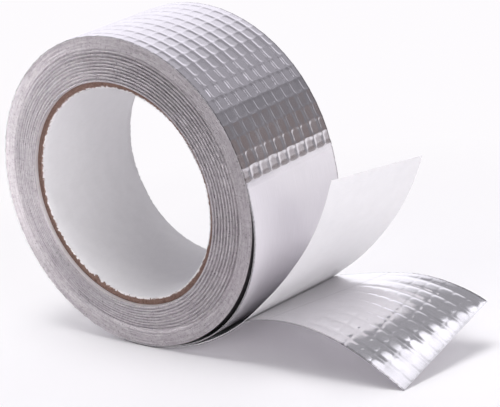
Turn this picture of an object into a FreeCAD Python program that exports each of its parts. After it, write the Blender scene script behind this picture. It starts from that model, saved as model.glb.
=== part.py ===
import FreeCAD, Part
import math
import os
import Sketcher

# A roll of embossed aluminium foil tape on a wound paperboard core, with its free end
# drawn off the bottom of the roll.  There the tape parts from its paper release liner:
# the liner springs up and the tape arches over and down to the table.
#
# Frame: millimetres, origin at the middle of the core's bore, +Y along the roll's axis
# (the near face is at -Y), +X towards the free end, +Z up.  The roll stands on its
# outermost turn, so the table is at z = -roll_radius.

SIZES = [
    # the strip, which sets the width of everything wound on the core
    ("tape_width", 48.0),
    ("foil_thickness", 0.10),
    ("adhesive_thickness", 0.05),
    ("liner_thickness", 0.10),
    # the paperboard core: a smooth white ply inside, kraft plies, a pale ply outside
    ("bore_radius", 38.1),
    ("inner_ply_thickness", 0.2),
    ("kraft_ply_thickness", 0.8),
    ("kraft_ply_count", 3),
    ("outer_ply_thickness", 0.2),
    # the winding
    ("roll_radius", 57.0),
    # clearance between the outermost turn and the turns under it
    ("turn_clearance", 0.02),
    # its first turns, by their share of its thickness, drifted towards the near side in steps
    # that grow towards the core
    ("drifted_share", 0.62),
    ("drift_step_height", 0.45),
    ("drift_step_count", 4),
    # directions round the roll, in degrees from +X towards +Z
    ("leave_angle", -85.0),
    ("tuck_angle", -100.0),
    ("loose_top_angle", 10.0),
    ("loose_lift", 1.7),
    # the free end.  Each bend is part of a cylinder: a run along both edges of the strip and
    # a turn in degrees, where a turn down is negative.  A flat before it slews it round, by
    # running that much further along the far edge, or along the near one if negative.
    ("least_flat", 0.5),
    ("span_slew", 3.7),
    ("span_run", 43.6),
    ("span_turn_angle", 30.2),
    ("peel_slew", -0.9),
    ("peel_run", 4.0),
    ("peel_turn_angle", -24.3),
    ("crown_slew", 15.9),
    ("crown_run", 6.1),
    ("crown_turn_angle", -4.8),
    ("arch_slew", 4.1),
    ("arch_run", 26.2),
    ("arch_turn_angle", -27.1),
    ("tip_slew", 0.0),
    ("tip_run", 7.8),
    ("tape_end_slew", -21.7),
    ("liner_low_slew", 11.7),
    ("liner_low_run", 8.6),
    ("liner_low_turn_angle", 7.1),
    ("liner_middle_slew", -9.1),
    ("liner_middle_run", 13.5),
    ("liner_middle_turn_angle", 6.8),
    ("liner_top_slew", -3.7),
    ("liner_top_run", 31.1),
    ("liner_top_turn_angle", 21.2),
    ("liner_end_slew", -4.2),
    # clearance across each flap's hinge line, where one strip carries on as a moving flap
    ("hinge_gap", 0.1),
]

doc = FreeCAD.newDocument("foil_tape_roll")
sheet = doc.addObject("Spreadsheet::Sheet", "Sizes")
for row, (alias, value) in enumerate(SIZES, start=1):
    sheet.set(f"A{row}", alias)
    sheet.set(f"B{row}", str(value))
    sheet.setAlias(f"B{row}", alias)
doc.recompute()

parts = {}


def size(alias):
    return float(sheet.get(alias))


def keep(obj, label):
    """Register a finished sub-part under the name of its file."""
    obj.Label = label
    parts[label] = obj
    return obj


def origin_plane(body, role):
    return next(f for f in body.Origin.OriginFeatures if f.Role == role)


def new_body(name):
    body = doc.addObject("PartDesign::Body", "Body_" + name)
    body.Placement = FreeCAD.Placement()
    return keep(body, name)


def sketch_on(body, role, name):
    sketch = body.newObject("Sketcher::SketchObject", name)
    sketch.AttachmentSupport = [(origin_plane(body, role), "")]
    sketch.MapMode = "FlatFace"
    return sketch


def pad_to_width(body, sketch):
    """Pad a section of the roll to the tape's width, half of it each side."""
    pad = body.newObject("PartDesign::Pad", "Pad_" + body.Label)
    pad.Profile = sketch
    pad.Midplane = True
    pad.setExpression("Length", "Sizes.tape_width")
    return pad


# ---------------------------------------------------------------- the core

def add_ply(name, inner_radius, thickness):
    """One tube of the core; both arguments are formulas in the sheet's sizes."""
    body = new_body(name)
    sketch = sketch_on(body, "XZ_Plane", "Section_" + name)
    centre = FreeCAD.Vector(0, 0, 0)
    normal = FreeCAD.Vector(0, 0, 1)
    start = size("bore_radius")
    for index, (edge, radius) in enumerate((("inside", inner_radius),
                                            ("outside", f"{inner_radius} + {thickness}"))):
        circle = sketch.addGeometry(Part.Circle(centre, normal, start + index), False)
        sketch.addConstraint(Sketcher.Constraint("Coincident", circle, 3, -1, 1))
        number = sketch.addConstraint(Sketcher.Constraint("Radius", circle, start + index))
        sketch.renameConstraint(number, edge)
        sketch.setExpression(f"Constraints.{edge}", radius)
    pad_to_width(body, sketch)


kraft_count = int(size("kraft_ply_count"))
first_kraft = "Sizes.bore_radius + Sizes.inner_ply_thickness"
add_ply("core_inner_ply", "Sizes.bore_radius", "Sizes.inner_ply_thickness")
for ply in range(kraft_count):
    add_ply(f"core_kraft_ply_{ply + 1}", f"{first_kraft} + {ply} * Sizes.kraft_ply_thickness",
            "Sizes.kraft_ply_thickness")
last_kraft = f"{first_kraft} + {kraft_count} * Sizes.kraft_ply_thickness"
add_ply("core_outer_ply", last_kraft, "Sizes.outer_ply_thickness")

core_radius = (size("bore_radius") + size("inner_ply_thickness")
               + kraft_count * size("kraft_ply_thickness") + size("outer_ply_thickness"))

# ------------------------------------------------------------- the winding

half_width = size("tape_width") / 2
foil_top = size("foil_thickness")
tape_top = foil_top + size("adhesive_thickness")
strip_top = tape_top + size("liner_thickness")
FULL_TURN = 360


def on_circle(centre, radius, degrees):
    angle = math.radians(degrees)
    return (centre[0] + radius * math.cos(angle), centre[1] + radius * math.sin(angle))


def spiral_arcs():
    """The outermost turn's outer face as tangent quarter arcs, each (centre, radius, from, to).

    Each quarter, walked back from where the strip leaves, is a quarter of the strip's
    thickness smaller than the last, so a full turn steps in by one thickness.
    """
    step = strip_top / 4
    joint = size("loose_top_angle") + 180
    arcs = [((0.0, 0.0), size("roll_radius"), joint, size("leave_angle") + FULL_TURN)]
    while joint > size("tuck_angle"):
        centre, radius = arcs[-1][0], arcs[-1][1]
        arcs.append((on_circle(centre, step, joint), radius - step,
                     max(joint - 90, size("tuck_angle")), joint))
        joint -= 90
    return arcs


def loosen(arc):
    """Three tangent arcs that stand off the given one by loose_lift at its middle.

    The outer two have twice its radius.  The middle one is tighter, and its centre lies on
    the arc's own line of symmetry.
    """
    centre, radius, low, high = arc
    half = math.radians(high - low) / 2
    middle = (low + high) / 2
    outer_radius = 2 * radius
    extra = outer_radius - radius
    drop = extra * (1 - math.cos(half)) - size("loose_lift")
    across = extra * math.sin(half)
    between = (across ** 2 + drop ** 2) / (2 * drop)
    crown = math.degrees(math.atan2(across, between - drop))
    crown_centre = on_circle(on_circle(centre, -extra, high), between, middle + crown)
    return [(on_circle(centre, -extra, high), outer_radius, middle + crown, high),
            (crown_centre, outer_radius - between, middle - crown, middle + crown),
            (on_circle(centre, -extra, low), outer_radius, low, middle - crown)]


def arc_curve(arc, depth, plane):
    """The arc a given depth inside the strip's outer face, as a curve in that plane."""
    centre, radius, low, high = arc
    ends = [plane(on_circle(centre, radius - depth, angle)) for angle in (low, (low + high) / 2, high)]
    return Part.Arc(*ends)


def flat(point):
    return FreeCAD.Vector(point[0], point[1], 0)


def outline(arcs_out, depth_out, arcs_in, depth_in):
    """Closed outline between two faces of a wound strip, both walked from outside in."""
    curves = [arc_curve(arc, depth_out, flat) for arc in arcs_out]
    curves += [arc_curve(arc, depth_in, flat) for arc in reversed(arcs_in)]
    first, last = arcs_out[0], arcs_out[-1]
    curves.append(Part.LineSegment(flat(on_circle(first[0], first[1] - depth_out, first[3])),
                                   flat(on_circle(first[0], first[1] - depth_in, first[3]))))
    curves.append(Part.LineSegment(flat(on_circle(last[0], last[1] - depth_out, last[2])),
                                   flat(on_circle(last[0], last[1] - depth_in, last[2]))))
    return curves


turn = spiral_arcs()
loose_turn = turn[:3] + loosen(turn[3]) + turn[4:]


def add_turn(name, depth_out, depth_in):
    """One web of the outermost turn, from its tuck under the strip to where it leaves."""
    body = doc.addObject("PartDesign::Body", "Turn_" + name)
    sketch = sketch_on(body, "XZ_Plane", "Section_" + name)
    sketch.addGeometry(outline(loose_turn, depth_out, loose_turn, depth_in), False)
    pad_to_width(body, sketch)
    return body


def pack_outline():
    """The pack under the outermost turn: one turn of spiral, closed by the strip's own step."""
    depth = strip_top + size("turn_clearance")
    end = size("tuck_angle") + FULL_TURN
    arcs = [(turn[0][0], turn[0][1], turn[0][2], end)] + turn[1:]
    curves = [arc_curve(arc, depth, flat) for arc in arcs]
    top = flat(on_circle(arcs[0][0], arcs[0][1] - depth, end))
    foot = flat(on_circle(arcs[-1][0], arcs[-1][1] - depth, size("tuck_angle")))
    return curves + [Part.LineSegment(top, foot)]


def add_drift(body, kind, side):
    """Turn the drifted steps about the axis: added to the near side or cut from the far one."""
    steps = int(size("drift_step_count"))
    width = size("drifted_share") * (size("roll_radius") - core_radius) / steps
    height = size("drift_step_height")
    corners = [(core_radius, 0.0)]
    for step in range(steps):
        rise = (steps - step) * height
        corners += [(core_radius + step * width, rise), (core_radius + (step + 1) * width, rise)]
    corners.append((core_radius + steps * width, 0.0))
    points = [FreeCAD.Vector(radius, side * half_width - rise, 0) for radius, rise in corners]
    profile = sketch_on(body, "XY_Plane", "Steps_" + kind)
    profile.addGeometry([Part.LineSegment(a, b) for a, b in zip(points, points[1:] + points[:1])], False)
    turned = body.newObject("PartDesign::" + kind, "Drift_" + kind)
    turned.Profile = profile
    turned.ReferenceAxis = (profile, ["V_Axis"])
    turned.Angle = FULL_TURN


def add_pack():
    """The wound pack, whose first turns stand out of the near face and into the far one."""
    body = new_body("wound_pack")
    section = sketch_on(body, "XZ_Plane", "Section_wound_pack")
    section.addGeometry(pack_outline(), False)
    bore = section.addGeometry(Part.Circle(FreeCAD.Vector(0, 0, 0), FreeCAD.Vector(0, 0, 1), core_radius))
    section.addConstraint(Sketcher.Constraint("Coincident", bore, 3, -1, 1))
    number = section.addConstraint(Sketcher.Constraint("Radius", bore, core_radius))
    section.renameConstraint(number, "core_fit")
    section.setExpression("Constraints.core_fit", f"{last_kraft} + Sizes.outer_ply_thickness")
    pad_to_width(body, section)
    add_drift(body, "Revolution", -1)
    add_drift(body, "Groove", 1)


add_pack()

# ------------------------------------------------------------ the free end

FOLD_STEP = 3.0
DROOP_LIMITS = (-60.0, -1.0)
DROOP_TOLERANCE = 1e-4
leave_point = on_circle(turn[0][0], turn[0][1], turn[0][3])
leave_heading = turn[0][3] - 270
leaving = FreeCAD.Placement(FreeCAD.Vector(leave_point[0], 0, leave_point[1]),
                            FreeCAD.Rotation(FreeCAD.Vector(0, 1, 0), -leave_heading))


class Strip:
    """The free end laid out flat and carried round by small folds along lines across it.

    Nothing stretches, as in the real tape, so every bend is part of a cylinder.  Each bend
    is kept as stations of (near point, far point, normal) on the lower face.
    """

    def __init__(self):
        self.place = leaving
        self.near_run = 0.0
        self.far_run = 0.0
        self.bends = []
        self.fixed_bends = 0

    def across(self, near_run, far_run):
        near = FreeCAD.Vector(near_run, -half_width, 0)
        far = FreeCAD.Vector(far_run, half_width, 0)
        return self.place.multVec(near), self.place.multVec(far)

    def normal(self):
        return self.place.Rotation.multVec(FreeCAD.Vector(0, 0, 1))

    def bend(self, near_run, far_run, degrees=0.0):
        """Add a bend; with no degrees the strip runs on flat."""
        count = math.ceil(abs(degrees) / FOLD_STEP) if degrees else 1
        stations = []
        for step in range(count + 1):
            near, far = self.across(self.near_run + near_run * step / count,
                                    self.far_run + far_run * step / count)
            at_end = step in (0, count)
            fold = -degrees / count * (0.5 if at_end else 1.0)
            before = self.normal()
            rotation = FreeCAD.Rotation(far - near, fold)
            self.place = FreeCAD.Placement(FreeCAD.Vector(), rotation, near) * self.place
            after = self.normal()
            if at_end:
                normal = after if step else before
            else:
                normal = (before + after).normalize()
            stations.append((near, far, normal))
        self.near_run += near_run
        self.far_run += far_run
        self.bends.append(stations)

    def flat(self, slew):
        least = size("least_flat")
        self.bend(least + max(0.0, -slew), least + max(0.0, slew))

    def slewed_bend(self, name, degrees=None):
        """A flat and then the bend of that name, turned as the sheet says or as given."""
        self.flat(size(name + "_slew"))
        run = size(name + "_run")
        self.bend(run, run, size(name + "_turn_angle") if degrees is None else degrees)

    def hinge(self):
        """Mark where the strip carries on as a moving flap, and leave it room to turn."""
        self.fixed_bends = len(self.bends)
        self.bend(size("hinge_gap"), size("hinge_gap"))


def tape_strip(tip_turn):
    """The tape, parting from its liner, arching over and drooping to the table."""
    strip = Strip()
    strip.slewed_bend("span")
    strip.slewed_bend("peel")
    strip.slewed_bend("crown")
    strip.hinge()
    strip.slewed_bend("arch")
    strip.slewed_bend("tip", tip_turn)
    strip.flat(size("tape_end_slew"))
    return strip


def liner_strip():
    """The liner, springing up from the split to its cut end."""
    strip = Strip()
    strip.slewed_bend("span")
    strip.slewed_bend("liner_low")
    strip.hinge()
    strip.slewed_bend("liner_middle")
    strip.slewed_bend("liner_top")
    strip.flat(size("liner_end_slew"))
    return strip


def drooped_tape():
    """The tape with its last bend turned until its near corner rests on the table."""
    most_down, least_down = DROOP_LIMITS
    while least_down - most_down > DROOP_TOLERANCE:
        middle = (most_down + least_down) / 2
        near_corner = tape_strip(middle).bends[-1][-1][0]
        if near_corner.z < -size("roll_radius"):
            most_down = middle
        else:
            least_down = middle
    return tape_strip(least_down)


def face_between(side_a, side_b):
    """The face between two matching runs of points, plane where both of them are straight."""
    if len(side_a) == 2:
        return Part.Face(Part.makePolygon([*side_a, *reversed(side_b), side_a[0]]))
    rails = []
    for points in (side_a, side_b):
        curve = Part.BSplineCurve()
        curve.interpolate(Points=points, Parameters=[float(i) for i in range(len(points))])
        rails.append(curve.toShape())
    return Part.makeRuledSurface(*rails)


def lifted(station, depth):
    """The near and far points of a station, raised from the lower face into the strip."""
    near, far, normal = station
    return near + normal * depth, far + normal * depth


def add_web(name, bends, depths):
    """One web of a strip over consecutive bends, as a solid between two depths."""
    faces = []
    for stations in bends:
        corners = [[lifted(station, depth) for station in stations] for depth in depths]
        (low_near, low_far), (high_near, high_far) = [list(zip(*pairs)) for pairs in corners]
        faces += [face_between(low_near, low_far), face_between(high_near, high_far),
                  face_between(low_near, high_near), face_between(low_far, high_far)]
    for station in (bends[0][0], bends[-1][-1]):
        faces.append(face_between(*[lifted(station, depth) for depth in depths]))
    shell = Part.makeShell(faces)
    shell.sewShape()
    solid = Part.makeSolid(shell)
    if solid.Volume < 0:
        solid.reverse()
    web = doc.addObject("Part::Feature", "Web_" + name)
    web.Shape = solid
    web.Placement = FreeCAD.Placement()
    return web


def add_joined(name, body, web):
    """The outermost turn and the free span that carries it on, as one piece."""
    joined = doc.addObject("Part::Fuse", "Joined_" + name)
    joined.Base = body
    joined.Tool = web
    joined.Placement = FreeCAD.Placement()
    return keep(joined, name)


tape = drooped_tape()
liner = liner_strip()
WEBS = [
    ("foil", tape, (0.0, foil_top)),
    ("adhesive", tape, (foil_top, tape_top)),
    ("liner", liner, (tape_top, strip_top)),
]
for web_name, strip, depths in WEBS:
    turn_name = "outer_turn_" + web_name
    fixed_web = add_web(turn_name, strip.bends[:strip.fixed_bends], depths)
    add_joined(turn_name, add_turn(turn_name, *depths), fixed_web)
    end_name = "end_" + web_name
    keep(add_web(end_name, strip.bends[strip.fixed_bends + 1:], depths), end_name)

# ---------------------------------------------------------------- the files

doc.recompute()
for obj in doc.Objects:
    if "Invalid" in obj.State or "Error" in obj.State:
        raise RuntimeError(f"{obj.Label} failed: {obj.State}")
os.makedirs("parts", exist_ok=True)
for label, obj in parts.items():
    if obj.Shape.isNull() or not obj.Shape.isValid():
        raise RuntimeError(f"{label} has no valid shape")
    obj.Shape.exportStep(f"parts/{label}.step")
    print(f"{label}: {len(obj.Shape.Solids)} solid, {obj.Shape.Volume:.2f} mm3")
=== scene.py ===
import bpy
import math
import numpy as np
from mathutils import Matrix, Vector


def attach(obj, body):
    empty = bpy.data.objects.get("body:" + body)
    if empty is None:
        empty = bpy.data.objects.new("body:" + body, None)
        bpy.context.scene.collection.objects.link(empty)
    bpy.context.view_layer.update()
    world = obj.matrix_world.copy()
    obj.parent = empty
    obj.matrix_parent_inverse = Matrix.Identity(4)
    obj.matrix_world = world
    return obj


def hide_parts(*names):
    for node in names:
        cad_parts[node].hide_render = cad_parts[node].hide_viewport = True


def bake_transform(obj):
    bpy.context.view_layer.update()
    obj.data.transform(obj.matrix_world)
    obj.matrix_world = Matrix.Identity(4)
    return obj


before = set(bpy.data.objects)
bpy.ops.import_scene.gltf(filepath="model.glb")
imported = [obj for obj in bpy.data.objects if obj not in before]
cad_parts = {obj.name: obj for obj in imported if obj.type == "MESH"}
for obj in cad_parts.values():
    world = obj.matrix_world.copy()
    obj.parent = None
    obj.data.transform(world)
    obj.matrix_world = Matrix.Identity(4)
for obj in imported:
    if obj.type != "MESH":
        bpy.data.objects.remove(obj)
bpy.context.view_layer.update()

MM = 0.001

# ------------------------------------------------------------------ sizes (mm)
HALF = 24.0  # half the strip's width
ROLL_R = 57.0
BORE_R = 38.1
PLY_T = 0.2  # the core's white inner ply
CORE_R = 40.9
TAPE_T = 0.15  # foil and adhesive
STRIP_T = 0.25  # foil, adhesive and liner
# the outermost turn, in degrees round the axis: where it leaves the roll, where it begins,
# and the top of its loose quarter, which stands this far off the turns under it
LEAVE, TUCK, LOOSE_TOP, LOOSE_LIFT = -85.0, -100.0, 10.0, 1.7
# the turns that drifted sideways: their share of the wall, how far the first one stands out,
# and the rings that show
DRIFTED_SHARE, DRIFT, RINGS = 0.62, 1.8, 9
LEAST_FLAT = 0.5  # between two bends
FOLD_STEP = 0.4  # degrees of a bend per fold
# each bend of the free end: slew, run, degrees
SPAN = (3.7, 43.6, 30.2)
PEEL = (-0.9, 4.0, -24.3)
CROWN = (15.9, 6.1, -4.8)
ARCH = (4.1, 26.2, -27.1)
TIP_RUN, TAPE_END, CORNER_BEND = 7.8, (-21.7, 0, 0), -15.0
TIP_TURNS = (-40.0, -5.0)  # degrees between which the tape's last bend is sought
LINER_LOW = (11.7, 8.6, 7.1)
LINER_UPPER = ((-9.1, 13.5, 6.8), (-3.7, 31.1, 21.2), (-4.2, 0, 0))
HINGE_GAP = (0.1, 0.1, 0.0)
# the embossing: square cells pressed in between narrow ridges, where the first ridges lie,
# and the width of a cell's walls
CELL = 5.1
CELL_ACROSS, CELL_ALONG = -20.1, 1.7
PRESSED = 0.20
SIDE_WALL, SIDE_FADE, CROSS_WALL = 1.0, 1.0, 1.2
# on the roll the foil stands this proud of the solid and the liner is this much thinner, so
# that no pressed cell reaches the liner
PROUD, WOUND_LINER = 0.12, 0.05
WOUND_END, WOUND_FADE = -5.0, 25.0  # run where the strip starts to come off the roll, and over
# how flat a cell lies on the roll (1 is flat), and how deep it is, in PRESSED, on the free
# tape and at its tip
FLATTEN, FREE_DEPTH, TIP_DEPTH = 0.75, 1.3, 0.2
TIP_FADE_AT, TIP_FADE_SLANT, TIP_FADE = 107.0, 0.25, 6.0
# the smooth stretches: the outermost turn's lead, up to a run, and the span from the roll to
# past the nip, where tape and liner part
LEAD_TO, LEAD_FADE = -262.7, 1.6
SPAN_RISE, NIP_TO, NIP_SLANT, NIP_FADE = 10.0, 54.0, 0.32, 26.0
WORN_AWAY = 0.98
BONDED_FADE = 6.0  # past the nip, over which the cells come to show on the underside
LINER_STEP, LINER_ROWS = 0.8, 49
# the pack's side: each drifted ring ends in a groove this deep and this wide
GROOVE_DEPTH, GROOVE_WIDTH = 0.30, 0.26
FINE_PITCH = 0.28  # of the stations on the rest of the side
UNDER_GAP = 0.02  # between the pack and the outermost turn
NICK = -120.0  # the angle of the nick in the core's torn edge
PACK_MESH, PLY_MESH = 1440, 1080  # stations round a ring


# ------------------------------------------------------------------ the strip
def on_circle(centre, radius, degrees):
    a = math.radians(degrees)
    return (centre[0] + radius * math.cos(a), centre[1] + radius * math.sin(a))


def spiral():
    """The outermost turn's outer face, walked back from where the strip leaves."""
    step = STRIP_T / 4
    joint = LOOSE_TOP + 180
    arcs = [((0.0, 0.0), ROLL_R, joint, LEAVE + 360)]
    while joint > TUCK:
        centre, radius = arcs[-1][0], arcs[-1][1]
        arcs.append((on_circle(centre, step, joint), radius - step, max(joint - 90, TUCK), joint))
        joint -= 90
    return arcs


def loosened(arcs):
    """The same, with one quarter standing off the turns under it."""
    centre, radius, low, high = arcs[3]
    half, middle = math.radians(high - low) / 2, (low + high) / 2
    big = 2 * radius
    drop = (big - radius) * (1 - math.cos(half)) - LOOSE_LIFT
    across = (big - radius) * math.sin(half)
    between = (across ** 2 + drop ** 2) / (2 * drop)
    crown = math.degrees(math.atan2(across, between - drop))
    top = on_circle(on_circle(centre, radius - big, high), between, middle + crown)
    loose = [(on_circle(centre, radius - big, high), big, middle + crown, high),
             (top, big - between, middle - crown, middle + crown),
             (on_circle(centre, radius - big, low), big, low, middle - crown)]
    return arcs[:3] + loose + arcs[4:]


ROUND = spiral()
ARCS = loosened(ROUND)
ARC_RUNS = [math.radians(high - low) * radius for _, radius, low, high in ARCS]
TURN_RUN = sum(ARC_RUNS)


def fold(place, near, far, degrees):
    """Turn a frame (3x4) about the line from near to far."""
    axis = (far - near) / np.linalg.norm(far - near)
    a = math.radians(degrees)
    k = np.array([[0, -axis[2], axis[1]], [axis[2], 0, -axis[0]], [-axis[1], axis[0], 0]])
    r = np.eye(3) + math.sin(a) * k + (1 - math.cos(a)) * k @ k
    return np.c_[r @ place[:, :3], near + r @ (place[:, 3] - near)]


class Strip:
    """The flat strip folded round in fine steps along the same lines as the solids."""

    def __init__(self, bends):
        h = math.radians(LEAVE + 90)
        x, z = on_circle((0, 0), ROLL_R, LEAVE)
        place = np.array([[math.cos(h), 0, -math.sin(h), x], [0, 1, 0, 0],
                          [math.sin(h), 0, math.cos(h), z]])
        self.lines, self.places = [], [place]
        near_run = far_run = 0.0
        for near, far, degrees in bends:
            count = max(1, math.ceil(abs(degrees) / FOLD_STEP))
            for i in range(count) if degrees else ():
                a = near_run + near * (i + 0.5) / count
                b = far_run + far * (i + 0.5) / count
                p = place @ np.array([a, -HALF, 0, 1])
                q = place @ np.array([b, HALF, 0, 1])
                place = fold(place, p, q, -degrees / count)
                self.lines.append((a, b))
                self.places.append(place)
            near_run += near
            far_run += far
        self.near_run, self.far_run = near_run, far_run
        self.lines = np.array(self.lines)
        self.places = np.array(self.places)

    def at(self, s, y, depth):
        """Points (mm) for the strip's run s, place across y and depth, all as arrays."""
        s, y, depth = (v.ravel() for v in np.broadcast_arrays(s, y, depth))
        out = np.zeros((len(s), 3))
        free = s >= 0
        if free.any():
            share = (y[free] + HALF) / (2 * HALF)
            index = np.zeros(free.sum(), int)
            for a, b in self.lines:
                index += (s[free] > a + (b - a) * share)
            flat = np.stack([s[free], y[free], depth[free], np.ones(free.sum())], 1)
            out[free] = np.einsum("nij,nj->ni", self.places[index], flat)
        left = ~free
        back = -s[left]
        part = np.zeros((left.sum(), 3))
        done = np.zeros(left.sum(), bool)
        start = 0.0
        for (centre, radius, _, high), run in zip(ARCS, ARC_RUNS):
            here = ~done & (back <= start + run + 1e-9)
            a = math.radians(high) - (back[here] - start) / radius
            r = radius - depth[left][here]
            x, z = centre[0] + r * np.cos(a), centre[1] + r * np.sin(a)
            part[here] = np.stack([x, y[left][here], z], 1)
            done |= here
            start += run
        out[left] = part
        return out

    def point(self, run, y=0.0):
        return self.at(np.array([run]), np.array([y]), np.array([0.0]))[0]


def bend_list(*items):
    """Bends from (slew, run, degrees): a flat that slews, and then an even bend."""
    out = []
    for slew, run, degrees in items:
        out.append((LEAST_FLAT + max(0, -slew), LEAST_FLAT + max(0, slew), 0.0))
        if run:
            out.append((run, run, degrees))
    return out


def runs_to(*items):
    """The near and far runs at the end of some bends."""
    bends = bend_list(*items)
    return sum(b[0] for b in bends), sum(b[1] for b in bends)


def droop(turn):
    """The tape with its last bend at an angle, and its near corner turned down a little."""
    fixed = bend_list(SPAN, PEEL, CROWN)
    corner = [(LEAST_FLAT - TAPE_END[0], LEAST_FLAT, CORNER_BEND)]
    return Strip(fixed + [HINGE_GAP] + bend_list(ARCH, (0.0, TIP_RUN, turn)) + corner)


def settle():
    """Turn the tape's last bend until its corner rests on the table."""
    low, high = TIP_TURNS
    for _ in range(30):
        mid = (low + high) / 2
        s = droop(mid)
        z = s.point(s.near_run, -HALF)[2]
        low, high = (mid, high) if z < -ROLL_R else (low, mid)
    return droop(high)


tape = settle()
liner = Strip(bend_list(SPAN, LINER_LOW) + [HINGE_GAP] + bend_list(*LINER_UPPER))
NIP = runs_to(SPAN)
TAPE_HINGE = runs_to(SPAN, PEEL, CROWN)
LINER_HINGE = runs_to(SPAN, LINER_LOW)

# ------------------------------------------------------------------ embossing
# shares of a cell where the mesh has a station
CELL_STOPS = np.array([0, .025, .05, .08, .11, .145, .2, .3, .4,
                       .5, .6, .7, .8, .855, .89, .92, .95, .975])


def cell_stops(low, high, origin):
    """Stations from low to high that crowd in at each cell's ridges."""
    first = math.floor((low - origin) / CELL)
    last = math.ceil((high - origin) / CELL)
    stops = np.concatenate([origin + CELL * (k + CELL_STOPS) for k in range(first, last)])
    stops = stops[(stops > low + 0.05) & (stops < high - 0.05)]
    return np.concatenate([[low], stops, [high]])


def wobble(x, seed):
    """Smooth repeatable noise along one direction, about -1 to 1."""
    return (np.sin(x * 0.71 + seed * 1.7) + np.sin(x * 1.93 + seed * 3.1) * 0.6
            + np.sin(x * 0.23 + seed * 0.9) * 0.8) / 2.4


def smooth(x):
    x = np.clip(x, 0, 1)
    return x * x * (3 - 2 * x)


def press(s, y, flatten, full=1.0):
    """How deep each point lies: cells pressed in, and narrow ridges left between them."""
    s2 = s + 0.10 * wobble(y, 2.0)
    y2 = y + 0.10 * wobble(s, 5.0)
    u = ((s2 - CELL_ALONG) / CELL) % 1.0
    v = ((y2 - CELL_ACROSS) / CELL) % 1.0
    du = np.minimum(u, 1 - u) * CELL
    dv = np.minimum(v, 1 - v) * CELL
    cell = np.floor((s2 - CELL_ALONG) / CELL) * 7.0 + np.floor((y2 - CELL_ACROSS) / CELL) * 13.0
    depth = PRESSED * (1 + 0.15 * wobble(cell, 1.0))
    lean = CELL * (0.014 * wobble(cell, 2.0) * (u - 0.5) + 0.010 * wobble(cell, 4.0) * (v - 0.5))
    chord = flatten * ((CELL / 2) ** 2 - (CELL * (u - 0.5)) ** 2) / (2 * ROLL_R)
    crossing = 1 - smooth(du / CROSS_WALL)
    side = SIDE_WALL * (1.35 - 0.35 * flatten) + SIDE_FADE * crossing
    walls = smooth(dv / side) * (1 - (0.04 + 0.12 * flatten) * crossing)
    return (depth + lean * flatten) * walls * full + chord


# ------------------------------------------------------------------ mesh helpers
def mesh_object(name, verts, faces):
    mesh = bpy.data.meshes.new(name)
    mesh.from_pydata((verts * MM).tolist(), [], faces)
    mesh.update()
    mesh.polygons.foreach_set("use_smooth", [True] * len(mesh.polygons))
    obj = bpy.data.objects.new(name, mesh)
    bpy.context.scene.collection.objects.link(obj)
    return obj


def split_edges(obj, degrees=60):
    sharp = obj.modifiers.new("edges", "EDGE_SPLIT")
    sharp.split_angle = math.radians(degrees)


def grid_faces(n, m, offset=0, flip=False):
    i = np.arange(n - 1)[:, None] * m + np.arange(m - 1)[None, :] + offset
    quads = np.stack([i, i + m, i + m + 1, i + 1], -1).reshape(-1, 4)
    return quads[:, ::-1] if flip else quads


def closed_sheet(name, low, high, n, m, strip_map, materials):
    """A thin closed piece from two matching grids, with materials for outside, inside and rim."""
    k = n * m
    rows = np.arange(n - 1)
    cols = np.arange(m - 1)
    end = (n - 1) * m
    rim = [np.stack([rows * m, rows * m + k, (rows + 1) * m + k, (rows + 1) * m], 1),
           np.stack([rows * m + m - 1, (rows + 1) * m + m - 1, (rows + 1) * m + m - 1 + k,
                     rows * m + m - 1 + k], 1),
           np.stack([cols, cols + 1, cols + 1 + k, cols + k], 1),
           np.stack([cols + end, cols + end + k, cols + 1 + end + k, cols + 1 + end], 1)]
    faces = [grid_faces(n, m), grid_faces(n, m, k, flip=True)]
    side = len(faces[0])
    faces = np.concatenate(faces + rim)
    obj = mesh_object(name, np.concatenate([low, high]), faces.tolist())
    kinds = np.full(len(faces), 2)
    kinds[:side] = 0
    kinds[side:2 * side] = 1
    for mat in materials:
        obj.data.materials.append(mat)
    obj.data.polygons.foreach_set("material_index", kinds.tolist())
    layer = obj.data.uv_layers.new(name="strip")
    loops = np.zeros(len(obj.data.loops), int)
    obj.data.loops.foreach_get("vertex_index", loops)
    both = np.concatenate([strip_map, strip_map])
    layer.data.foreach_set("uv", both[loops].ravel())
    split_edges(obj)
    return obj


# ------------------------------------------------------------------ materials
def material(name, colour, rough, metal=0.0, **sockets):
    mat = bpy.data.materials.new(name)
    mat.use_nodes = True
    shader = mat.node_tree.nodes["Principled BSDF"]
    shader.inputs["Base Color"].default_value = (*colour, 1)
    shader.inputs["Roughness"].default_value = rough
    shader.inputs["Metallic"].default_value = metal
    for key, value in sockets.items():
        shader.inputs[key.replace("_", " ")].default_value = value
    return mat, mat.node_tree, shader


def node(tree, kind, **values):
    n = tree.nodes.new(kind)
    for key, value in values.items():
        if key in n.inputs:
            n.inputs[key].default_value = value
        else:
            setattr(n, key, value)
    return n


def noise(tree, source, scale, detail=3.0, stretch=(1, 1, 1), roughness=0.5):
    """Noise over some coordinates, stretched by scaling them."""
    mapping = node(tree, "ShaderNodeMapping")
    mapping.inputs["Scale"].default_value = stretch
    tree.links.new(source, mapping.inputs["Vector"])
    tex = node(tree, "ShaderNodeTexNoise", Scale=scale, Detail=detail, Roughness=roughness)
    tree.links.new(mapping.outputs["Vector"], tex.inputs["Vector"])
    return tex.outputs["Fac"]


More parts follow.
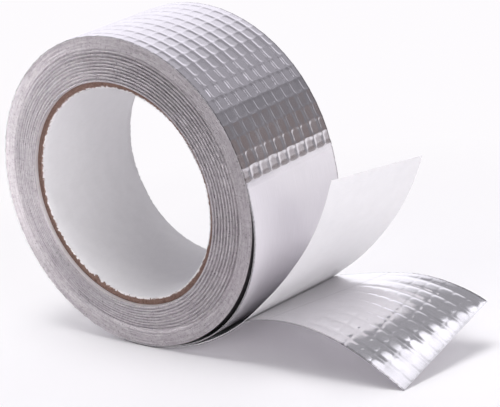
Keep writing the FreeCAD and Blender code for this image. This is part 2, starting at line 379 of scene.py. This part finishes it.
def remap(tree, value, low, high, to_low, to_high):
    ramp = node(tree, "ShaderNodeMapRange")
    for key, number in (("From Min", low), ("From Max", high), ("To Min", to_low), ("To Max", to_high)):
        ramp.inputs[key].default_value = number
    tree.links.new(value, ramp.inputs["Value"])
    return ramp.outputs["Result"]


def math_node(tree, operation, first, second=None):
    n = node(tree, "ShaderNodeMath", operation=operation)
    for socket, value in zip(n.inputs, (first, second)):
        if isinstance(value, (int, float)):
            socket.default_value = value
        elif value is not None:
            tree.links.new(value, socket)
    return n.outputs["Value"]


def mix_colour(tree, factor, low, high):
    mix = node(tree, "ShaderNodeMix", data_type="RGBA")
    tree.links.new(factor, mix.inputs[0])
    for index, value in ((6, low), (7, high)):
        if isinstance(value, tuple):
            mix.inputs[index].default_value = (*value, 1)
        else:
            tree.links.new(value, mix.inputs[index])
    return mix.outputs[2]


def bump(tree, shader, height, strength, distance):
    n = node(tree, "ShaderNodeBump", Strength=strength, Distance=distance)
    tree.links.new(height, n.inputs["Height"])
    tree.links.new(n.outputs["Normal"], shader.inputs["Normal"])


def from_axis(tree, coord):
    """Coordinates split up, their part square to the roll's axis, and its length."""
    parts = node(tree, "ShaderNodeSeparateXYZ")
    tree.links.new(coord, parts.inputs["Vector"])
    flat = node(tree, "ShaderNodeCombineXYZ")
    tree.links.new(parts.outputs["X"], flat.inputs["X"])
    tree.links.new(parts.outputs["Z"], flat.inputs["Z"])
    length = node(tree, "ShaderNodeVectorMath", operation="LENGTH")
    tree.links.new(flat.outputs["Vector"], length.inputs[0])
    return parts.outputs, flat.outputs["Vector"], length.outputs["Value"]


def foil_material(name, colour, rough, hazed, **sockets):
    """Rolled aluminium: faint lines along the run, a haze that comes and goes and a dark,
    nicked rim.  The outermost turn's lead is duller, by a lower metallic value."""
    mat, tree, shader = material(name, colour, rough, 1.0, **sockets)
    strip_map = node(tree, "ShaderNodeUVMap", uv_map="strip").outputs["UV"]
    lines = noise(tree, strip_map, 1.0, 4.0, (0.12, 4.5, 1))
    haze = noise(tree, strip_map, 1.0, 3.0, (0.09, 0.13, 1))
    grain = noise(tree, strip_map, 6.0, 2.0)
    tree.links.new(remap(tree, haze, 0.3, 0.7, rough - 0.04, rough + 0.06), shader.inputs["Roughness"])
    dark = tuple(c * 0.93 for c in colour)
    base = mix_colour(tree, remap(tree, lines, 0.35, 0.65, 0, 1), dark, colour)
    along = node(tree, "ShaderNodeSeparateXYZ")
    tree.links.new(strip_map, along.inputs["Vector"])
    rim = remap(tree, math_node(tree, "ABSOLUTE", along.outputs["Y"]), HALF - 0.75, HALF - 0.25, 0, 1)
    nicks = remap(tree, noise(tree, strip_map, 1.0, 4.0, (1.1, 3.0, 1)), 0.42, 0.58, 0.15, 0.9)
    base = mix_colour(tree, math_node(tree, "MULTIPLY", rim, nicks), base, (0.22, 0.20, 0.215))
    tree.links.new(base, shader.inputs["Base Color"])
    height = math_node(tree, "ADD", lines, math_node(tree, "MULTIPLY", grain, 0.5))
    bump(tree, shader, height, 0.10, 0.00003)
    tree.links.new(remap(tree, along.outputs["X"], LEAD_TO - 3, LEAD_TO + 1, hazed, 1),
                   shader.inputs["Metallic"])
    return mat


foil = foil_material("foil", (0.84, 0.81, 0.85), 0.21, 0.35)
sticky = foil_material("foil_under_adhesive", (0.90, 0.885, 0.905), 0.2, 1.0,
                       Coat_Weight=0.5, Coat_Roughness=0.12)
cut_edge, tree, shader = material("cut_edge", (0.20, 0.19, 0.20), 0.45, 0.4)
bump(tree, shader, noise(tree, node(tree, "ShaderNodeTexCoord").outputs["Object"], 2500.0), 0.3, 0.00005)


def paper_material(name, colour, rough, **sockets):
    """Smooth paper with a cloudy formation and a few fibres."""
    mat, tree, shader = material(name, colour, rough, 0.0, **sockets)
    coord = node(tree, "ShaderNodeTexCoord").outputs["Object"]
    clouds = noise(tree, coord, 260.0, 4.0)
    fibres = noise(tree, coord, 1600.0, 2.0, (1, 0.25, 1))
    both = math_node(tree, "ADD", math_node(tree, "MULTIPLY", clouds, 0.7),
                     math_node(tree, "MULTIPLY", fibres, 0.3))
    dark = tuple(c * 0.955 for c in colour)
    tree.links.new(mix_colour(tree, remap(tree, both, 0.35, 0.65, 0, 1), dark, colour),
                   shader.inputs["Base Color"])
    tree.links.new(remap(tree, clouds, 0.3, 0.7, rough - 0.05, rough + 0.07), shader.inputs["Roughness"])
    bump(tree, shader, fibres, 0.08, 0.00004)
    return mat


release = paper_material("release_paper", (0.775, 0.76, 0.78), 0.38)
ply_paper = paper_material("ply_paper", (0.71, 0.695, 0.71), 0.6)

# ------------------------------------------------------------------ the tape
ACROSS = cell_stops(-HALF, HALF, CELL_ACROSS)
PLAIN_ACROSS = np.linspace(-HALF, HALF, LINER_ROWS)


def line_runs(line, across=ACROSS):
    """The run where a cross line, given at the near and far edges, meets each row."""
    return line[0] + (line[1] - line[0]) * (across + HALF) / (2 * HALF)


def wound_share(s):
    """1 where the strip lies on the roll, and 0 along its free end."""
    return 1 - smooth((s - WOUND_END) / WOUND_FADE)


def embossing(s, y):
    """How far each point of the foil is pushed in, from the wound turn to the tape's tip."""
    wound = wound_share(s)
    lead = 1 - smooth((s - LEAD_TO) / LEAD_FADE + 0.5)
    past_nip = smooth((s - NIP_TO - NIP_SLANT * (y + HALF)) / NIP_FADE)
    worn = lead + smooth(s / SPAN_RISE + 1) * (1 - past_nip)
    tip = smooth((s - TIP_FADE_SLANT * y - TIP_FADE_AT) / TIP_FADE + 0.5)
    full = FREE_DEPTH - (FREE_DEPTH - 1) * wound - (FREE_DEPTH - TIP_DEPTH) * tip
    return press(s, y, FLATTEN * wound * (1 - worn), full * (1 - WORN_AWAY * worn)) - PROUD * wound


def lay_tape(name, low, high):
    """Tape between two cross lines."""
    stops = cell_stops(min(low), max(high), CELL_ALONG)
    s = np.clip(stops[:, None], line_runs(low)[None, :], line_runs(high)[None, :])
    y = np.broadcast_to(ACROSS[None, :], s.shape)
    sink = embossing(s, y)
    shown = smooth((s - line_runs(NIP)[None, :]) / BONDED_FADE)
    outer = tape.at(s, y, sink)
    inner = tape.at(s, y, TAPE_T + sink * shown + 0.8 * WOUND_LINER * wound_share(s))
    strip_map = np.stack([s.ravel(), y.ravel()], 1)
    return closed_sheet(name, outer, inner, *s.shape, strip_map, (foil, sticky, cut_edge))


def after_gap(line):
    return line[0] + HINGE_GAP[0], line[1] + HINGE_GAP[1]


def bend_from(obj, strip, line):
    """Find the hinge line's middle and the way a free piece runs on past it, then bake the piece's
    placement into its mesh; the piece is not bent here.
    """
    near, far = strip.point(line[0], -HALF), strip.point(line[1], HALF)
    middle = (near + far) / 2
    along = (far - near) / np.linalg.norm(far - near)
    out = strip.point(sum(line) / 2 + 6.0) - middle  # the way it runs on, just past the line
    out -= along * (out @ along)
    out /= np.linalg.norm(out)
    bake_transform(obj)


turn_tape = lay_tape("turn_tape", (-TURN_RUN, -TURN_RUN), TAPE_HINGE)
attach(turn_tape, "roll")
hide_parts("outer_turn_foil", "outer_turn_adhesive")

flap_tape = lay_tape("flap_tape", after_gap(TAPE_HINGE), (tape.near_run, tape.far_run))
bend_from(flap_tape, tape, TAPE_HINGE)
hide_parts("end_foil", "end_adhesive")


def lay_liner(name, low, high):
    """Liner between two cross lines."""
    first, last = line_runs(low, PLAIN_ACROSS)[None, :], line_runs(high, PLAIN_ACROSS)[None, :]
    count = int((max(high) - min(low)) / LINER_STEP)
    t = np.linspace(0, 1, count)[:, None]
    s = first * (1 - t) + last * t
    y = np.broadcast_to(PLAIN_ACROSS[None, :], s.shape)
    strip_map = np.stack([s.ravel(), y.ravel()], 1)
    outer = liner.at(s, y, TAPE_T + WOUND_LINER * wound_share(s))
    return closed_sheet(name, outer, liner.at(s, y, STRIP_T), *s.shape, strip_map,
                        (release, release, release))


turn_liner = lay_liner("turn_liner", (-TURN_RUN, -TURN_RUN), LINER_HINGE)
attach(turn_liner, "roll")
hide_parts("outer_turn_liner")

flap_liner = lay_liner("flap_liner", after_gap(LINER_HINGE), (liner.near_run, liner.far_run))
bend_from(flap_liner, liner, LINER_HINGE)
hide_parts("end_liner")


# ------------------------------------------------------------------ rings of mesh
def ring_object(name, rows):
    """A closed ring from rows of points, each once round, joined in order and last to first."""
    n, m = len(rows), len(rows[0])
    i = np.arange(n)[:, None] * m + np.arange(m)[None, :]
    j = np.arange(n)[:, None] * m + (np.arange(m)[None, :] + 1) % m
    faces = np.stack([i, np.roll(i, -1, axis=0), np.roll(j, -1, axis=0), j], -1).reshape(-1, 4)
    obj = mesh_object(name, np.concatenate(rows), faces.tolist())
    split_edges(obj, 50)
    return obj


def ring_row(a, radius, y):
    return np.stack([radius * np.cos(a), y + 0 * a, radius * np.sin(a)], 1)


def around(a, seed, count=5, first=1):
    """Smooth repeatable noise round a ring, about -1 to 1, that closes on itself."""
    rng = np.random.default_rng(seed)
    total = np.zeros_like(a)
    for k in range(first, first + count):
        total += rng.uniform(0.4, 1.0) * np.sin(k * a + rng.uniform(0, 2 * math.pi))
    return total / math.sqrt(count)


def pack_radius(a):
    """The pack's outer face at each angle: a turn of the spiral under the outermost turn."""
    degrees = (np.degrees(a) - TUCK) % 360 + TUCK
    radius = np.full(len(a), ROUND[0][1])
    for centre, size, low, high in ROUND[1:]:
        here = (degrees >= low) & (degrees < high)
        radius[here] = size + centre[0] * np.cos(a[here]) + centre[1] * np.sin(a[here])
    return radius - STRIP_T - UNDER_GAP


def side_profile():
    """Ring, radius and height of each station of the pack's side, from the core outwards."""
    zone = DRIFTED_SHARE * (ROLL_R - CORE_R)
    pitch, rise = zone / RINGS, DRIFT / RINGS
    rows = [(0, CORE_R, DRIFT - 0.55)]
    for ring in range(RINGS):
        level = DRIFT - ring * rise
        foot = level - rise - GROOVE_DEPTH
        start = CORE_R + ring * pitch
        rows += [(ring, start + 0.08, level - 0.10), (ring, start + 0.2 * pitch, level),
                 (ring, start + 0.6 * pitch, level - 0.03),
                 (ring, start + pitch - GROOVE_WIDTH - 0.06, level - 0.10),
                 (ring, start + pitch - GROOVE_WIDTH, foot), (ring, start + pitch - 0.06, foot)]
    for i, radius in enumerate(np.arange(CORE_R + zone + 0.3, ROLL_R - STRIP_T - 0.4, FINE_PITCH)):
        dip = (0.14, 0.10, 0.07, 0.05)[i // 4] if i % 4 == 3 and i < 16 else 0.0
        rows.append((RINGS, radius, -dip - 0.015 * (i % 2)))
    return rows


def angles(count):
    return np.arange(count) * 2 * math.pi / count


def build_pack():
    """The wound turns under the outermost one, with the rings and grooves of their sides."""
    a = angles(PACK_MESH)
    edge = pack_radius(a)
    rows = []
    for sign in (-1, 1):
        face = []
        for index, (ring, radius, level) in enumerate(side_profile()):
            shift = 0.04 * around(a, 11 + ring, 5) * smooth((radius - CORE_R) / 0.5)
            lift = level + 0.035 * around(a, 40 + ring, 6) * (ring > 0)
            rough = 0.010 * around(a, 70 + index, 60, 30)
            y = np.clip(sign * HALF - lift - rough, -HALF - DRIFT, HALF)
            face.append(ring_row(a, np.minimum(radius + shift, edge - 0.2), y))
        face += [ring_row(a, edge - 0.07, sign * HALF), ring_row(a, edge, sign * (HALF - 0.12))]
        rows += face if sign < 0 else face[::-1]
    return ring_object("pack", rows)


pack = build_pack()
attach(pack, "roll")
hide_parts("wound_pack")


def side_material():
    """Cut edges of foil, adhesive and paper: fine lines round the axis, smears and specks."""
    mat, tree, shader = material("pack_side", (0.5, 0.49, 0.51), 0.42, 0.55)
    coord = node(tree, "ShaderNodeTexCoord").outputs["Object"]
    parts, flat, length = from_axis(tree, coord)
    unit = node(tree, "ShaderNodeVectorMath", operation="NORMALIZE")
    tree.links.new(flat, unit.inputs[0])
    turned = node(tree, "ShaderNodeSeparateXYZ")
    tree.links.new(unit.outputs["Vector"], turned.inputs["Vector"])

    def polar(along, outward):
        """Coordinates that run slowly round the axis and fast outwards, with no seam."""
        c = node(tree, "ShaderNodeCombineXYZ")
        tree.links.new(math_node(tree, "MULTIPLY", turned.outputs["X"], along), c.inputs["X"])
        tree.links.new(math_node(tree, "MULTIPLY", turned.outputs["Z"], along), c.inputs["Y"])
        tree.links.new(math_node(tree, "MULTIPLY", length, outward), c.inputs["Z"])
        return c.outputs["Vector"]

    turns = noise(tree, polar(9.0, 3600.0), 1.0, 2.0)
    smears = noise(tree, polar(38.0, 700.0), 1.0, 4.0, roughness=0.6)
    specks = noise(tree, polar(95.0, 2300.0), 1.0, 2.0, roughness=0.7)
    patches = noise(tree, coord, 70.0, 3.0)
    bands = noise(tree, polar(3.0, 1500.0), 1.0, 3.0, roughness=0.6)
    tone = math_node(tree, "ADD", math_node(tree, "MULTIPLY", turns, 0.3),
                     math_node(tree, "MULTIPLY", smears, 0.4))
    tone = math_node(tree, "ADD", tone, math_node(tree, "MULTIPLY", bands, 0.3))
    base = mix_colour(tree, remap(tree, tone, 0.38, 0.62, 0, 1),
                      (0.245, 0.222, 0.236), (0.485, 0.45, 0.472))
    base = mix_colour(tree, remap(tree, specks, 0.59, 0.68, 0, 0.9), base, (0.08, 0.07, 0.075))
    base = mix_colour(tree, remap(tree, patches, 0.45, 0.75, 0, 0.25), base, (0.44, 0.385, 0.425))
    # the pack's inner wall shows pale liner; its outer face, under the loose turn, is painted near black
    # as painted shade in the gap there
    bare = remap(tree, length, (CORE_R + 0.02) * MM, (CORE_R + 0.07) * MM, 1, 0)
    base = mix_colour(tree, bare, base, (0.78, 0.75, 0.77))
    across = math_node(tree, "ABSOLUTE", parts["Y"])
    inside = remap(tree, across, (HALF - 0.4) * MM, (HALF - 0.1) * MM, 1, 0)
    outside = remap(tree, length, (ROLL_R - 2.5) * MM, (ROLL_R - 2.2) * MM, 0, 1)
    base = mix_colour(tree, math_node(tree, "MULTIPLY", inside, outside), base, (0.05, 0.045, 0.05))
    tree.links.new(base, shader.inputs["Base Color"])
    tree.links.new(remap(tree, smears, 0.3, 0.7, 0.34, 0.55), shader.inputs["Roughness"])
    height = math_node(tree, "ADD", turns, math_node(tree, "MULTIPLY", specks, -0.8))
    bump(tree, shader, height, 0.5, 0.00008)
    return mat


pack.data.materials.append(side_material())


# ------------------------------------------------------------------ the core
def ragged(a, seed, amount):
    """Torn fibres round an edge."""
    fine = np.abs(around(a, seed, 60, 40)) * 0.5 + np.abs(around(a, seed + 1, 120, 120)) * 0.35
    return amount * (fine + 0.25 * (1 + around(a, seed + 2, 9, 3)))


def nick(a, width):
    """1 at the nick in the core's edge, falling away over some degrees."""
    off = (np.degrees(a) - NICK + 180) % 360 - 180
    return np.exp(-(off / width) ** 2)


def build_board():
    """The kraft plies with a torn inner edge at both ends, and one nick in the near one."""
    a = angles(PACK_MESH)
    inner = BORE_R + PLY_T
    wall = CORE_R - inner
    rows = []
    for sign in (-1, 1):
        seed = 200 + 50 * sign
        torn = ragged(a, seed, 0.62)
        gap = nick(a, 1.3) * (sign < 0)
        end = [(inner, HALF - 1.6), (inner + 0.10 * torn + 0.9 * gap, HALF - 0.5 - 0.5 * torn),
               (inner + 0.7 * torn + 1.3 * gap, HALF - 0.12 - 0.35 * torn)]
        for station in range(10):
            share = 0.18 + station * 0.085
            dent = 0.05 + 0.07 * np.abs(around(a, seed + 10 + station, 50, 30)) + 0.8 * gap * (1 - share)
            radius = inner + share * wall + (0.7 * torn + gap) * (1 - share)
            end.append((radius, HALF - dent - 0.10 * (station // 3 % 2)))
        end.append((CORE_R, HALF - 0.15))
        ring = [ring_row(a, radius, sign * height) for radius, height in end]
        rows += ring if sign < 0 else ring[::-1]
    return ring_object("core_board", rows)


def build_ply():
    """The white inner ply, whose ends are slightly frayed."""
    a = angles(PLY_MESH)
    outside = BORE_R + PLY_T - 0.005
    rows = []
    for sign in (-1, 1):
        torn = ragged(a, 400 + 50 * sign, 0.7) + 0.7 * nick(a, 1.6) * (sign < 0)
        end = [(BORE_R + 0.03 * (1 + around(a + y / 9, 77, 6, 2)), HALF - y)
               for y in (20.0, 14.0, 8.0, 3.0)]
        end += [(BORE_R, HALF - 0.16 - torn), (BORE_R + 0.5 * PLY_T, HALF - 0.06 - torn),
                (outside, HALF - 0.1 - torn), (outside, HALF - 3.0)]
        ring = [ring_row(a, radius, sign * height) for radius, height in end]
        rows += ring if sign < 0 else ring[::-1]
    return ring_object("core_ply", rows)


def kraft_material():
    """Brown board: fibres and clumps, and the white ply's fluff over its inner edge."""
    mat, tree, shader = material("kraft", (0.24, 0.14, 0.11), 0.92, 0.0)
    coord = node(tree, "ShaderNodeTexCoord").outputs["Object"]
    fibres = noise(tree, coord, 1500.0, 5.0, roughness=0.7)
    clumps = noise(tree, coord, 380.0, 3.0)
    base = mix_colour(tree, remap(tree, fibres, 0.35, 0.65, 0, 1),
                      (0.085, 0.043, 0.034), (0.25, 0.155, 0.125))
    base = mix_colour(tree, remap(tree, clumps, 0.4, 0.7, 0, 0.6), base, (0.19, 0.115, 0.095))
    length = from_axis(tree, coord)[2]
    tufts = noise(tree, coord, 900.0, 3.0, roughness=0.7)
    reach = math_node(tree, "ADD", math_node(tree, "MULTIPLY", tufts, 2.4 * MM),
                      (BORE_R + PLY_T - 0.75) * MM)
    fluff = remap(tree, math_node(tree, "SUBTRACT", length, reach), -0.1 * MM, 0.1 * MM, 1, 0)
    base = mix_colour(tree, fluff, base, (0.72, 0.69, 0.70))
    tree.links.new(base, shader.inputs["Base Color"])
    bump(tree, shader, fibres, 0.9, 0.0002)
    return mat


board = build_board()
board.data.materials.append(kraft_material())
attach(board, "roll")
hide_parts("core_kraft_ply_1", "core_kraft_ply_2", "core_kraft_ply_3", "core_outer_ply")

ply = build_ply()
ply.data.materials.append(ply_paper)
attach(ply, "roll")
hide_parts("core_inner_ply")

# ------------------------------------------------------------------ stage
floor_z = -ROLL_R * MM
bpy.ops.mesh.primitive_plane_add(size=8.0, location=(0, 0, floor_z))
floor = bpy.context.object
floor.name = "floor"


def floor_material():
    """A pale table that runs out into a white backdrop, as seen directly or mirrored. Left and right of
    the roll its white glow sets in close, as painted light over the shadows there.
    """
    mat, tree, shader = material("floor", (0.90, 0.885, 0.905), 0.9, 0.0, Specular_IOR_Level=0.0)
    coord = node(tree, "ShaderNodeTexCoord").outputs["Object"]
    away = node(tree, "ShaderNodeVectorMath", operation="DISTANCE")
    tree.links.new(coord, away.inputs[0])
    away.inputs[1].default_value = (0.055, -0.01, 0.0)
    path = node(tree, "ShaderNodeLightPath")
    seen = math_node(tree, "MAXIMUM", path.outputs["Is Camera Ray"], path.outputs["Is Glossy Ray"])
    far = remap(tree, away.outputs["Value"], 0.055, 0.25, 0.04, 1)
    parts = node(tree, "ShaderNodeSeparateXYZ")
    tree.links.new(coord, parts.inputs["Vector"])
    # painted light: left and right of the roll the glow is raised to wash out the shadows cast there
    left = remap(tree, parts.outputs["X"], -0.09, -0.005, 0.8, 0)
    right = remap(tree, parts.outputs["X"], 0.10, 0.17, 0, 0.7)
    far = math_node(tree, "MAXIMUM", far, math_node(tree, "MAXIMUM", left, right))
    glow = node(tree, "ShaderNodeEmission", Color=(0.985, 0.965, 0.99, 1), Strength=1.0)
    mix = node(tree, "ShaderNodeMixShader")
    tree.links.new(math_node(tree, "MULTIPLY", seen, far), mix.inputs[0])
    tree.links.new(shader.outputs[0], mix.inputs[1])
    tree.links.new(glow.outputs[0], mix.inputs[2])
    tree.links.new(mix.outputs[0], tree.nodes["Material Output"].inputs["Surface"])
    return mat


floor.data.materials.append(floor_material())


# ------------------------------------------------------------------ light
def facing(azimuth, elevation):
    a, e = math.radians(azimuth), math.radians(elevation)
    return (math.cos(e) * math.cos(a), math.cos(e) * math.sin(a), math.sin(e))


def studio(patches, warm, dim):
    """A dim room with soft bright patches: azimuth, elevation, inner and outer reach, strength.
    The warm patch only tints: its reflection is the brown band on the foil."""
    world = bpy.data.worlds.new("studio")
    bpy.context.scene.world = world
    world.use_nodes = True
    tree = world.node_tree
    ray = node(tree, "ShaderNodeTexCoord").outputs["Generated"]

    def patch(azimuth, elevation, inner, outer, strength):
        towards = node(tree, "ShaderNodeVectorMath", operation="DOT_PRODUCT")
        tree.links.new(ray, towards.inputs[0])
        towards.inputs[1].default_value = facing(azimuth, elevation)
        edge = node(tree, "ShaderNodeMapRange", interpolation_type="SMOOTHSTEP")
        starts, full = math.cos(math.radians(outer)), math.cos(math.radians(inner))
        for key, number in (("From Min", starts), ("From Max", full),
                            ("To Min", 0.0), ("To Max", strength)):
            edge.inputs[key].default_value = number
        tree.links.new(towards.outputs["Value"], edge.inputs["Value"])
        return edge.outputs["Result"]

    total = patch(*patches[0])
    for numbers in patches[1:]:
        total = math_node(tree, "ADD", total, patch(*numbers))
    back = tree.nodes["Background"]
    colour = mix_colour(tree, patch(*warm), (0.945, 0.935, 1.0), (1.0, 0.85, 0.82))
    tree.links.new(colour, back.inputs["Color"])
    tree.links.new(math_node(tree, "ADD", total, dim), back.inputs["Strength"])


studio([(125, 8, 8, 54, 0.98), (66, 37, 3, 15, 0.15), (70, 75, 5, 50, 0.14), (24, 56, 3, 12, 1.2)],
       (49, 9, 6, 16, 1.0), 0.23)


def area(name, where, width, height, power, target=(0, 0, 0)):
    data = bpy.data.lights.new(name, "AREA")
    data.energy = power
    data.shape = "RECTANGLE"
    data.size = width
    data.size_y = height
    obj = bpy.data.objects.new(name, data)
    obj.location = where
    obj.rotation_euler = (Vector(target) - Vector(where)).to_track_quat("-Z", "Y").to_euler()
    bpy.context.scene.collection.objects.link(obj)
    return obj


key = area("key", (-0.06, -0.08, 1.30), 0.6, 0.6, 11.0)
key.visible_glossy = False
area("fill", (1.20, -0.36, 0.36), 0.7, 0.7, 7.2)
area("front", (0.60, -1.00, 0.02), 0.4, 0.4, 4.2)

# a narrow spot that lights the left of the side
snoot_data = bpy.data.lights.new("snoot", "SPOT")
snoot_data.energy = 19.0
snoot_data.spot_size = math.radians(11.0)
snoot_data.spot_blend = 1.0
snoot_data.shadow_soft_size = 0.05
snoot = bpy.data.objects.new("snoot", snoot_data)
snoot.location = (-0.50, -0.50, 0.00)
aim = Vector((-0.062, -0.024, -0.004)) - snoot.location
snoot.rotation_euler = aim.to_track_quat("-Z", "Y").to_euler()
bpy.context.scene.collection.objects.link(snoot)

# ------------------------------------------------------------------ camera
cam_data = bpy.data.cameras.new("camera")
cam_data.sensor_width = 36.0
cam_data.lens = 155.7
cam = bpy.data.objects.new("camera", cam_data)
backwards = Vector((0.6165, -0.7254, 0.3061)).normalized()
up = Vector((-0.1079, 0.3073, 0.9455))
right = up.cross(backwards).normalized()
up = backwards.cross(right)
cam.matrix_world = Matrix((
    (right.x, up.x, backwards.x, 0.4989),
    (right.y, up.y, backwards.y, -0.5442),
    (right.z, up.z, backwards.z, 0.2226),
    (0, 0, 0, 1)))
bpy.context.scene.collection.objects.link(cam)
bpy.context.scene.camera = cam
bpy.context.scene.view_settings.view_transform = "Standard"
